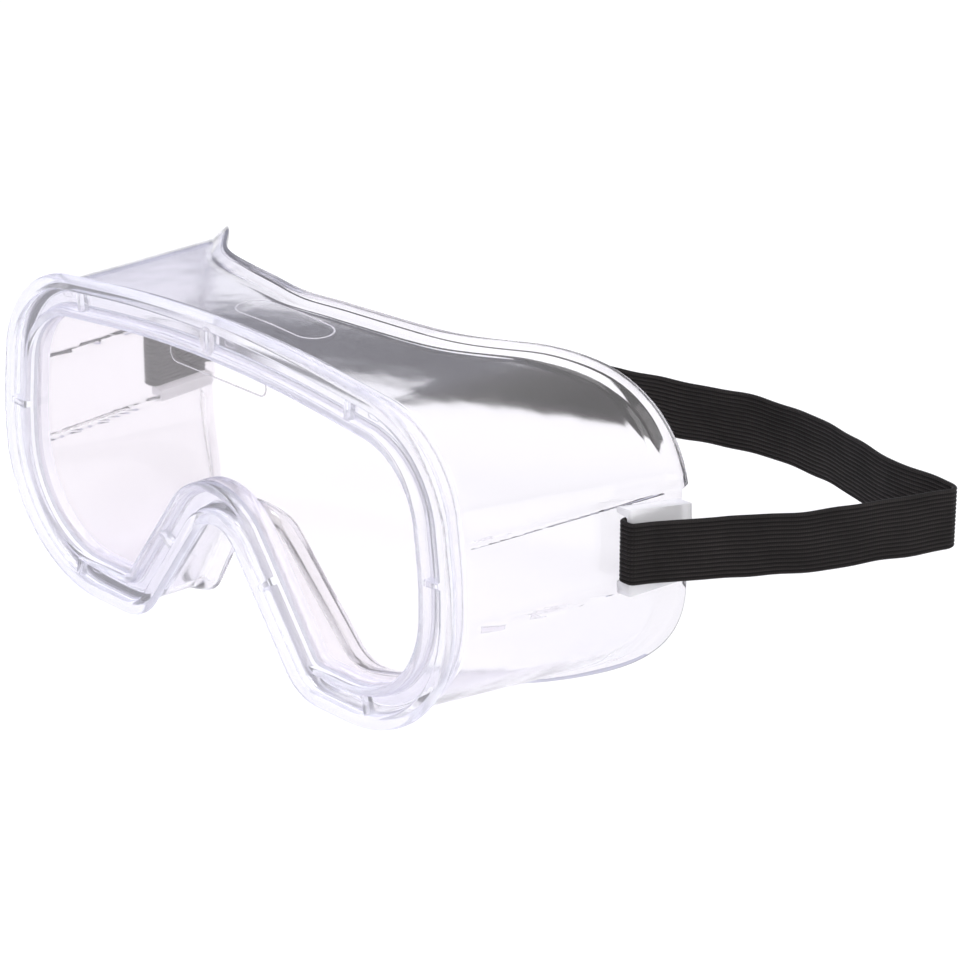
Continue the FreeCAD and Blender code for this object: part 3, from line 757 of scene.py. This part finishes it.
def wall_points(form, spot):
    """The wall's part of one cross-section: back along its inner face and forward outside."""
    s = form.s
    start = Moulding.RIM_BACK
    inner_end = form.end_depth(spot, s.wall)
    outer_end = form.end_depth(spot, 0.0)
    fold_in = inner_end - s.lip_length
    fold_out = outer_end - s.lip_length
    x_end, _y, z_end = form.wall_point(spot, 0.0, outer_end)
    at_side = abs(x_end) > s.half_width - SIDE_REACH
    # the lip lies flat between the side ribs, where the strap passes
    lip = s.lip_height
    if at_side:
        gap_low = s.lower_rib + s.rib_thickness / 2
        gap_high = s.upper_rib - s.rib_thickness / 2
        lip *= 1 - smooth_step(z_end - gap_low + 0.5) * smooth_step(gap_high + 0.5 - z_end)

    def rib_at(y):
        if not at_side:
            return 0.0
        z = form.wall_point(spot, 0.0, y)[2]
        height = s.rib_height * smooth_step((y - s.rib_start) / 2.0)
        half = s.rib_thickness / 2
        return max(bump_at(z - rib, half, 0.4) * height for rib in (s.upper_rib, s.lower_rib))

    # the inner face, which leaves the rim with a small bevel, and the inside of the lip
    rows = [(s.wall + 0.25, start + 0.25)]
    rows += [(s.wall, start + (fold_in - start) * step) for step in WALL_STEPS[1:]]
    rows += [(s.wall - lip * 0.62 * step**1.4, fold_in + s.lip_length * step) for step in LIP_STEPS]
    # the lip's rounded edge and its outside
    rows += [(s.wall - lip * 0.66 - 0.25, inner_end - 0.03)]
    rows += [(0.45 - lip * 0.95, outer_end), (0.1 - lip, outer_end - 0.25)]
    for step in reversed(LIP_STEPS[:-1]):
        y = fold_out + s.lip_length * step
        rows.append((-max(lip * min(1.0, 1.03 * step**0.8), rib_at(y)), y))
    # the outer face with its ribs
    outside = [start + (fold_out - start) * step for step in reversed(WALL_STEPS[1:])]
    rows += [(-rib_at(y), y) for y in outside + [start + 0.2]]
    return [form.wall_point(spot, inward, y) for inward, y in rows]


class GOGGLES_OT_frame(bpy.types.Operator):
    """Build the one-piece clear frame: rim, channel, posts, walls, ribs and soft back lip."""

    bl_idname = "goggles.frame"
    bl_label = "Clear frame"

    def execute(self, context):
        s = context.scene.goggles_frame
        form = Moulding(s)
        channel = form.path("rim", s.bead + s.channel / 2)
        _places, _lengths, fine, run, points = places_along(channel, s.spacing)
        total = run[-1]
        posts = post_lengths(form, run, points)
        extra = []
        for post in posts:
            extra += list(post + POST_STATIONS) + list(post - POST_STATIONS[1:])
        for rib in (s.upper_rib, s.lower_rib):
            for way in (1, -1):
                # close cross-sections over the strip that the rib runs through
                depths = (Moulding.RIM_BACK, s.temple_depth)
                ends = [form.side_place(rib, 0.0, y, way) for y in depths]
                strip = np.interp(ends, fine, run)
                first, last = min(strip) - RIB_MARGIN, max(strip) + RIB_MARGIN
                extra += list(np.arange(first, last, RIB_SPACING))
        places, lengths = places_along(channel, s.spacing, extra)[:2]
        rim_rows = rim_section(s)
        verts = []
        for spot, along in zip(places, lengths):
            closest = min(abs((along - p + total / 2) % total - total / 2) for p in posts)
            post = bump_at(closest, s.post_width / 2, POST_SOFTEN) * s.post_height
            verts += rim_points(form, rim_rows, spot, post) + wall_points(form, spot)
        faces = ring_faces(len(places), len(verts) // len(places))
        plastic = material("clear_frame_plastic")
        obj = finish_mesh("frame_moulding", verts, faces, plastic, "mask", sharp=50.0)
        obj.data.materials.append(material("milky_rim_plastic"))
        for face in obj.data.polygons:
            face.material_index = int(face.center.y < Moulding.RIM_BACK * MM)
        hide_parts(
            "rim",
            "brow_wall",
            "temple_wall_left",
            "temple_wall_right",
            "cheek_wall_left",
            "cheek_wall_right",
            "nose_bridge",
        )
        return {"FINISHED"}


# cross-sections along a strap lug's plate, closer together at its ends
LUG_STEPS = (0.0, 0.12, 0.4, 1.2, 3.0, 6.0, 9.0, 12.0, 15.0, 16.8, 17.6, 17.88, 18.0)
# how much a lug narrows at its ends, and over what length
LUG_EASE, LUG_EASE_LENGTH = 0.45, 0.4
# how far the lug's webs run into the wall
LUG_SUNK = 0.35
# roundings of the lug's plate and of its slot
LUG_CORNER, LUG_BEVEL, SLOT_CORNER = 0.6, 0.18, 0.4


class GOGGLES_OT_lugs(bpy.types.Operator):
    """Build the two strap lugs: a plate that stands off the side wall on two webs."""

    bl_idname = "goggles.lugs"
    bl_label = "Strap lugs"

    def execute(self, context):
        s = context.scene.goggles_frame
        form = Moulding(s)
        low = s.lower_rib - s.rib_thickness / 2
        high = s.upper_rib + s.rib_thickness / 2
        span, slot = high - low, s.lug_slot
        web = (span - s.lug_opening) / 2
        out = slot + s.lug_thickness
        sunk, corner, bevel, inner = LUG_SUNK, LUG_CORNER, LUG_BEVEL, SLOT_CORNER
        # height and distance into the wall, round the plate's outside and back through the slot
        outline = [(low, sunk), (low, -out + corner), (low + bevel, -out + bevel)]
        outline += [(low + corner, -out)] + [(low + span * k / 10, -out) for k in range(1, 10)]
        outline += [(high - corner, -out), (high - bevel, -out + bevel), (high, -out + corner)]
        outline += [(high, sunk), (high - web, sunk), (high - web, -slot + inner)]
        outline += [(high - web - inner, -slot)]
        outline += [(high - web - (span - 2 * web) * k / 8, -slot) for k in range(1, 8)]
        outline += [(low + web + inner, -slot), (low + web, -slot + inner), (low + web, sunk)]
        middle_z = (low + high) / 2
        middle_d = -(out + slot) / 2
        rows, columns = len(LUG_STEPS), len(outline)
        faces = ring_faces(rows, columns, closed_rows=False) + end_caps(rows, columns)
        plastic = material("lug_plastic")
        for way, label in ((1, "left"), (-1, "right")):
            verts = []
            for step in LUG_STEPS:
                y = s.lug_front + s.lug_length * step / LUG_STEPS[-1]
                to_end = min(step, LUG_STEPS[-1] - step)
                inset = LUG_EASE * (1 - min(1.0, to_end / LUG_EASE_LENGTH) ** 0.5)
                for z, d in outline:
                    dz = dd = 0.0
                    if abs(d) > 0.5:
                        dz = math.copysign(min(inset, abs(z - middle_z)), middle_z - z)
                    if d < -0.5:
                        dd = math.copysign(min(inset, abs(d - middle_d)), middle_d - d)
                    verts.append(form.side_point(z + dz, d + dd, y, way))
            obj = finish_mesh("strap_lug_" + label, verts, faces, plastic, "mask", sharp=45.0)
        return {"FINISHED"}


# distance between points on a slot's straight sides
FLAT_SPACING = 2.0
# the eyelet's points, half width, half height, depth, line and rise
EYELET_POINTS, EYELET_X, EYELET_Z, EYELET_DEPTH = 28, 1.9, 3.2, -2.95
EYELET_LINE, EYELET_RISE = 0.55, 0.5
# left-hand tool marks: distance from the middle, height and slope, then their common size,
# point spacing, depth, line and rise
TOOL_MARKS = ((6, 19.2, 0), (56, 15.6, -0.1), (49, -54.3, 0))
TOOL_MARK_SIZE = (3.4, 1.3, 0.4)
TOOL_MARK_DEPTH, TOOL_MARK_LINE, TOOL_MARK_RISE = -1.02, 0.13, 0.16
# places on the outlines over the top of the frame, from the wearer's right to the left
TOP_PLACES = (9.6, 9.8, 10.0, 10.05, 10.15, 10.3, 10.45, 10.6, 10.8)


def wire_loop(points, normals, half_width, height, sides=8):
    """A closed raised line along points, half sunk in the surface below it."""
    verts = []
    count = len(points)
    for i, (point, normal) in enumerate(zip(points, normals)):
        before, after = Vector(points[i - 1]), Vector(points[(i + 1) % count])
        along = (after - before).normalized()
        up = Vector(normal).normalized()
        across = along.cross(up).normalized()
        for k in range(sides):
            angle = 2 * math.pi * k / sides
            spot = Vector(point) + across * half_width * math.cos(angle)
            verts.append(tuple(spot + up * height * math.sin(angle)))
    return verts, ring_faces(count, sides)


def stadium(width, height, spacing=0.6):
    """Points round a rounded slot, counted from its middle; spacing is for its round ends."""
    radius = height / 2
    flat = width / 2 - radius
    points = []
    steps = max(4, int(math.pi * radius / spacing))
    for way in (1, -1):
        for k in range(steps + 1):
            angle = math.pi / 2 - math.pi * k / steps
            points.append((way * (flat + radius * math.cos(angle)), way * radius * math.sin(angle)))
        runs = max(2, int(2 * flat / FLAT_SPACING))
        for k in range(1, runs):
            points.append((way * (flat - 2 * flat * k / runs), -way * radius))
    return points


class GOGGLES_OT_marks(bpy.types.Operator):
    """Build the small raised outlines: the eyelet, the oval, the lens panel and the tool marks."""

    bl_idname = "goggles.marks"
    bl_label = "Raised outlines"

    def execute(self, context):
        s = context.scene.goggles_frame
        m = context.scene.goggles_marks
        form = Moulding(s)
        verts, faces = [], []

        def add(points, normals, half_width, height):
            more, loops = wire_loop(points, normals, half_width, height)
            base = len(verts)
            verts.extend(more)
            faces.extend(tuple(i + base for i in face) for face in loops)

        # eyelet bridging the channel at the top middle
        middle = form.rim_point(0.25, s.bead + s.channel / 2, EYELET_DEPTH)[2] + 0.1
        points = []
        for k in range(EYELET_POINTS):
            angle = 2 * math.pi * k / EYELET_POINTS
            height = middle + EYELET_Z * math.sin(angle)
            points.append((EYELET_X * math.cos(angle), EYELET_DEPTH, height))
        add(points, [(0, -1, 0)] * len(points), EYELET_LINE, EYELET_RISE)
        # small rectangles in the channel's floor, on both sides
        for x, z, tilt in TOOL_MARKS:
            for way in (1, -1):
                points = []
                for px, pz in stadium(*TOOL_MARK_SIZE):
                    points.append((way * x + px, TOOL_MARK_DEPTH, z + pz + way * tilt * px))
                add(points, [(0, -1, 0)] * len(points), TOOL_MARK_LINE, TOOL_MARK_RISE)
        # oval on the top of the frame
        points = []
        for px, py in stadium(m.badge_width, m.badge_depth):
            x, y = m.badge_x + px, m.badge_y + py
            table = np.array([form.wall_point(t, 0.0, y) for t in TOP_PLACES])
            order = np.argsort(table[:, 0])
            height = float(np.interp(x, table[order, 0], table[order, 2]))
            points.append((x, y, height + 0.02))
        add(points, [(0, 0.04, 1)] * len(points), m.line * 0.8, 0.22)
        plastic = material("raised_line_plastic")
        obj = finish_mesh("frame_raised_marks", verts, faces, plastic, "mask")
        # panel outline on the lens
        outline = stadium(m.panel_width, m.panel_height)
        points = [(px, -0.02, m.panel_z + pz) for px, pz in outline]
        verts, faces = wire_loop(points, [(0, -1, 0)] * len(points), m.line * 0.6, 0.14)
        obj = finish_mesh("lens_panel_outline", verts, faces, plastic, "mask")
        return {"FINISHED"}


class GOGGLES_OT_lens(bpy.types.Operator):
    """Give the packed flat lens its clear polycarbonate finish."""

    bl_idname = "goggles.lens"
    bl_label = "Lens"

    def execute(self, context):
        lens = frame["nodes"]["lens"]
        lens.data.materials.clear()
        lens.data.materials.append(material("clear_lens_plastic"))
        return {"FINISHED"}


# ---- strap


# radius inside a fold, slack outside the left lug, and rounding where the sides leave the lugs
FOLD_RADIUS, LEFT_SLACK, SIDE_RADIUS = 0.9, 2.2, 18.0
# corners of the loose elastic behind the temples, with their roundings: on the left side
# counted from that side, then round the back counted from the middle
LEFT_CORNERS = ((21.4, 16.9, 55.0), (33.1, 50.3, 2.4), (12.8, 50.7, 40.0))
BACK_CORNERS = ((62.0, 61.5, 60.0), (0.0, 42.5, 200.0), (-55.0, 21.0, 90.0))
RIGHT_OUT, RIGHT_BACK, RIGHT_RADIUS = 2.4, 3.5, 7.0
# the elastic lies still this far behind its tails, then its ripple grows over the next length
STILL_LENGTH, RIPPLE_GROWTH = 18.0, 14.0
# points across one rib
RIB_POINTS = 6
# half lengths over which a bend and a direction are taken, and the bend from one
# cross-section to the next, in radians
BEND_REACH, TANGENT_REACH, BEND_STEP = 0.05, 0.04, 0.06


class Strap:
    """The elastic's path in plan, from the left tail round the head to the right tail."""

    def __init__(self, sizes, form):
        s, f = sizes, form.s
        self.s = s
        self.middle = (f.lower_rib + f.upper_rib) / 2
        half = s.thickness / 2
        fold_y = f.lug_front - s.gap - half
        inner = f.lug_slot / 2
        outer = f.lug_slot + f.lug_thickness + s.gap + half
        tail_y = fold_y + s.tail
        temple = f.temple_depth

        def side_x(y):
            return form.side_point(self.middle, 0.0, y, 1)[0]

        radius = FOLD_RADIUS + half
        fold_x, tail_x = side_x(fold_y), side_x(tail_y)
        left_x = fold_x + outer + LEFT_SLACK
        right_x = side_x(s.pivot) + outer
        corners = [
            (tail_x + inner, tail_y, 0.0),
            (fold_x + inner, fold_y, radius),
            (fold_x + outer, fold_y, radius),
            (left_x, s.pivot, SIDE_RADIUS),
        ]
        corners += [(left_x + x, temple + y, r) for x, y, r in LEFT_CORNERS]
        corners += [(x, temple + y, r) for x, y, r in BACK_CORNERS]
        corners += [
            (-right_x - RIGHT_OUT, temple + RIGHT_BACK, RIGHT_RADIUS),
            (-right_x, s.pivot, SIDE_RADIUS),
            (-fold_x - outer, fold_y, radius),
            (-fold_x - inner, fold_y, radius),
            (-tail_x - inner, tail_y, 0.0),
        ]
        self.path = RoundedPath(corners, closed=False)
        fine = np.linspace(0.5, len(corners) - 1 - 1e-6, 9000)
        self.points = np.array([self.path.at(t) for t in fine])
        steps = np.linalg.norm(np.diff(self.points, axis=0), axis=1)
        self.run = np.concatenate([[0], np.cumsum(steps)])

    def at(self, along):
        """The point in plan at a length along the strap."""
        x = float(np.interp(along, self.run, self.points[:, 0]))
        y = float(np.interp(along, self.run, self.points[:, 1]))
        return x, y

    def crossings(self, depth):
        """Lengths along the strap at which it passes a depth y."""
        found = []
        ys = self.points[:, 1]
        for i in range(len(ys) - 1):
            if (ys[i] - depth) * (ys[i + 1] - depth) <= 0 and ys[i] != ys[i + 1]:
                part = (depth - ys[i]) / (ys[i + 1] - ys[i])
                found.append(self.run[i] + part * (self.run[i + 1] - self.run[i]))
        return found

    def wave(self, along):
        """How far the relaxed elastic rises and widens here; it lies still near the folds."""
        inward = min(along, self.run[-1] - along) - self.s.tail - STILL_LENGTH
        size = smooth_step(inward / RIPPLE_GROWTH) * self.s.ripple
        rise = 0.6 * math.sin(along / 5.3) + 0.4 * math.sin(along / 2.1 + 1.0)
        widen = math.sin(along / 3.4 + 0.5)
        return size * rise, size * 0.5 * widen

    def section(self):
        """Ribbed cross-section: (across, height) with a count of ribs for the cloth map."""
        s = self.s
        pitch = s.width / s.ribs
        points = []
        for face in (1, -1):
            for rib in range(s.ribs):
                for k in range(RIB_POINTS):
                    t = (k + 0.5) / RIB_POINTS
                    spot = rib + t
                    height = -s.width / 2 + pitch * spot
                    edge = min(spot, s.ribs - spot)
                    crown = s.thickness / 2 - s.rib_depth * (1 - math.sin(math.pi * t) ** 0.7)
                    crown *= min(1.0, 0.55 + 0.45 * min(1.0, edge / 0.5))
                    count = spot if face > 0 else s.ribs - spot
                    points.append((face * crown, face * height, count))
        return points

    def piece(self, name, start, end):
        """One stretch of the strap between two lengths along it."""
        count = max(3, int((end - start) / self.s.spacing))
        section = self.section()
        verts, uvs = [], []
        curved = []
        stations = np.linspace(start, end, count + 1)
        # more cross-sections where the strap bends sharply
        for a, b in zip(stations[:-1], stations[1:]):
            x0, y0 = self.at(a - BEND_REACH)
            x1, y1 = self.at(a + BEND_REACH)
            x2, y2 = self.at(b - BEND_REACH)
            x3, y3 = self.at(b + BEND_REACH)
            bend = abs(turn_at((x0, y0), (x1, y1), (x1 + x3 - x2, y1 + y3 - y2)))
            pieces = 1 if bend < BEND_STEP else min(6, int(bend / BEND_STEP) + 1)
            curved += [a + (b - a) * k / pieces for k in range(pieces)]
        curved.append(end)
        for along in curved:
            x, y = self.at(along)
            xa, ya = self.at(max(0.0, along - TANGENT_REACH))
            xb, yb = self.at(min(self.run[-1], along + TANGENT_REACH))
            tangent = Vector((xb - xa, yb - ya)).normalized()
            normal = Vector((tangent.y, -tangent.x))
            rise, widen = self.wave(along)
            for across, height, rib in section:
                z = self.middle + rise + height * (1 + 2 * widen / self.s.width)
                verts.append((x + normal.x * across, y + normal.y * across, z))
                uvs.append((rib, along))
        rows, columns = len(curved), len(section)
        faces = ring_faces(rows, columns, closed_rows=False) + end_caps(rows, columns)
        obj = finish_mesh(name, verts, faces, material("black_elastic"), None, 60.0, uvs)
        return obj


def strap_of(context):
    """The strap in the scene's present sizes."""
    return Strap(context.scene.goggles_strap, Moulding(context.scene.goggles_frame))


class GOGGLES_OT_strap_folds(bpy.types.Operator):
    """Build the strap's two ends, folded round the front edges of the lugs."""

    bl_idname = "goggles.strap_folds"
    bl_label = "Strap ends"

    def execute(self, context):
        strap = strap_of(context)
        pivots = strap.crossings(strap.s.pivot)
        for name, start, end, node in (
            ("strap_fold_left", 0.0, pivots[1], "strap_end_left"),
            ("strap_fold_right", pivots[-2], strap.run[-1], "strap_end_right"),
        ):
            obj = strap.piece(name, start, end)
            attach(obj, "mask")
            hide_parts(node)
        return {"FINISHED"}


class GOGGLES_OT_strap_sides(bpy.types.Operator):
    """Build the strap's sides, from the pivots at the lugs to where the rear length begins."""

    bl_idname = "goggles.strap_sides"
    bl_label = "Strap sides"

    def execute(self, context):
        strap = strap_of(context)
        pivots = strap.crossings(strap.s.pivot)
        splits = strap.crossings(strap.s.split)
        for name, start, end, node in (
            ("strap_side_left_elastic", pivots[1], splits[0], "strap_side_left"),
            ("strap_side_right_elastic", splits[-1], pivots[-2], "strap_side_right"),
        ):
            obj = strap.piece(name, start, end)
            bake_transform(obj)
            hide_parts(node)
        return {"FINISHED"}


class GOGGLES_OT_strap_rear(bpy.types.Operator):
    """Build the rear length of the strap, behind the head."""

    bl_idname = "goggles.strap_rear"
    bl_label = "Strap rear"

    def execute(self, context):
        strap = strap_of(context)
        splits = strap.crossings(strap.s.split)
        obj = strap.piece("strap_rear_elastic", splits[0], splits[-1])
        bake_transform(obj)
        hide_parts("strap_rear_left", "strap_rear_right")
        return {"FINISHED"}


# ---- stage

CAMERA_AZIMUTH = 47.5
CAMERA_ELEVATION = 22.0
CAMERA_PLACE = (0.6144, -0.4808, 0.2978)
CAMERA_LENS = 134.7
# the floor: mesh rows, half size and distance below the goggles, in metres
FLOOR_ROWS, FLOOR_REACH, FLOOR_GAP = 13, 4.0, 0.0003
# the surroundings: position, grey at that height; then the tint on the far side
SKY_STEPS = (
    (0.0, (0.13, 0.125, 0.17, 1)),
    (0.1, (0.8, 0.79, 0.84, 1)),
    (0.45, (1.0, 1.0, 1.0, 1)),
)
SKY_TINT, SKY_STRENGTH = (0.78, 0.79, 1.0, 1), 0.8
# name, place, aim, size, watts and colour of each lamp
LAMPS = (
    ("overhead", (0.1, 0.35, 1.3), (0, 0.04, 0), (1.2, 0.7), 6.0, (1.0, 1.0, 1.0)),
    ("front_left", (-0.9, -1.0, 0.7), (0, 0, 0), (0.5, 0.9), 3.0, (0.97, 0.97, 1.0)),
    ("near_side", (1.3, 0.25, 0.75), (0, 0.03, 0), (0.5, 0.7), 3.3, (1.0, 1.0, 1.0)),
)


def floor_material(c):
    """The pale floor, with a slow faint change of tone."""
    made = bpy.data.materials.new("pale_floor")
    made.use_nodes = True
    tree = made.node_tree
    noise = new_node(tree, "ShaderNodeTexNoise", -500, 0, {"Scale": 6.0}).outputs["Fac"]
    lighter = tuple(min(1.0, v * 1.01) for v in c.floor)
    inputs = {
        "Base Color": colour_mix(tree, -200, 0, noise, c.floor, lighter),
        "Roughness": 0.85,
        "Emission Color": (1.0, 1.0, 1.0, 1.0),
        "Emission Strength": 0.1,
    }
    set_inputs(tree, tree.nodes["Principled BSDF"], inputs)
    return made


def surroundings():
    """A studio's soft light from all round: dark below, white above, bluish on one side."""
    world = bpy.data.worlds.new("studio")
    world.use_nodes = True
    tree = world.node_tree
    place_in = new_node(tree, "ShaderNodeTexCoord", -900, 0).outputs["Generated"]
    parts = new_node(tree, "ShaderNodeSeparateXYZ", -700, 0, {0: place_in}).outputs
    ramp = new_node(tree, "ShaderNodeValToRGB", -500, 0, {"Fac": parts["Z"]})
    first, middle, last = SKY_STEPS
    ramp.color_ramp.elements[0].position, ramp.color_ramp.elements[0].color = first
    ramp.color_ramp.elements[1].position, ramp.color_ramp.elements[1].color = last
    ramp.color_ramp.elements.new(middle[0]).color = middle[1]
    inputs = {"From Min": -0.2, "From Max": -1.0, "Value": parts["X"]}
    side = new_node(tree, "ShaderNodeMapRange", -500, -250, inputs).outputs["Result"]
    inputs = {
        "Color": colour_mix(tree, -200, 0, side, ramp.outputs["Color"], SKY_TINT),
        "Strength": SKY_STRENGTH,
    }
    set_inputs(tree, tree.nodes["Background"], inputs)
    return world


def soft_lamp(name, place_m, aim, size, watts, tone):
    """A rectangular lamp, its places in metres."""
    lamp = bpy.data.lights.new(name, "AREA")
    lamp.shape = "RECTANGLE"
    lamp.size, lamp.size_y = size
    lamp.energy = watts
    lamp.color = tone
    obj = bpy.data.objects.new(name, lamp)
    obj.location = place_m
    obj.rotation_euler = (Vector(aim) - Vector(place_m)).to_track_quat("-Z", "Y").to_euler()
    bpy.context.scene.collection.objects.link(obj)


class GOGGLES_OT_stage(bpy.types.Operator):
    """Set up the pale floor, the soft studio light and the camera."""

    bl_idname = "goggles.stage"
    bl_label = "Stage"

    def execute(self, context):
        scene = context.scene
        low, _high = CAD_BOX
        level = low[2] - FLOOR_GAP
        steps = [(2 * i / (FLOOR_ROWS - 1) - 1) * FLOOR_REACH for i in range(FLOOR_ROWS)]
        verts = [(x / MM, y / MM, level / MM) for x in steps for y in steps]
        faces = ring_faces(FLOOR_ROWS, FLOOR_ROWS, closed_rows=False, closed_columns=False)
        floor = finish_mesh("floor", verts, faces, floor_material(scene.goggles_colours))

        scene.world = surroundings()
        for lamp in LAMPS:
            soft_lamp(*lamp)
        scene.view_settings.view_transform = "Standard"

        camera = bpy.data.cameras.new("camera")
        camera.lens = CAMERA_LENS
        camera.sensor_width = 36.0
        camera.clip_start = 0.01
        view = bpy.data.objects.new("camera", camera)
        scene.collection.objects.link(view)
        view.location = CAMERA_PLACE
        tilt, turn = math.radians(90 - CAMERA_ELEVATION), math.radians(CAMERA_AZIMUTH)
        view.rotation_euler = (tilt, 0, turn)
        scene.camera = view
        return {"FINISHED"}


# ---- panel and run

STEPS = (
    GOGGLES_OT_frame,
    GOGGLES_OT_lugs,
    GOGGLES_OT_marks,
    GOGGLES_OT_lens,
    GOGGLES_OT_strap_folds,
    GOGGLES_OT_strap_sides,
    GOGGLES_OT_strap_rear,
    GOGGLES_OT_stage,
)


class GOGGLES_PT_build(bpy.types.Panel):
    """Lists the goggles' pieces and their sizes."""

    bl_idname = "GOGGLES_PT_build"
    bl_label = "Safety goggles"
    bl_space_type = "VIEW_3D"
    bl_region_type = "UI"
    bl_category = "Goggles"

    def draw(self, context):
        layout = self.layout
        for name, group in GROUPS:
            column = layout.column(align=True)
            column.label(text=group.__doc__)
            for key in group.__annotations__:
                column.prop(getattr(context.scene, name), key)
        for step in STEPS:
            layout.operator(step.bl_idname)


CLASSES = tuple(group for _name, group in GROUPS) + STEPS + (GOGGLES_PT_build,)


def register():
    """Add the goggles' groups, operators and panel."""
    for item in CLASSES:
        bpy.utils.register_class(item)
    for name, group in GROUPS:
        setattr(bpy.types.Scene, name, bpy.props.PointerProperty(type=group))


def unregister():
    """Take them away again."""
    for name, _group in GROUPS:
        delattr(bpy.types.Scene, name)
    for item in reversed(CLASSES):
        bpy.utils.unregister_class(item)


def main():
    """Build every piece in turn."""
    register()
    for step in STEPS:
        group, name = step.bl_idname.split(".")
        getattr(getattr(bpy.ops, group), name)()


if __name__ == "__main__":
    main()
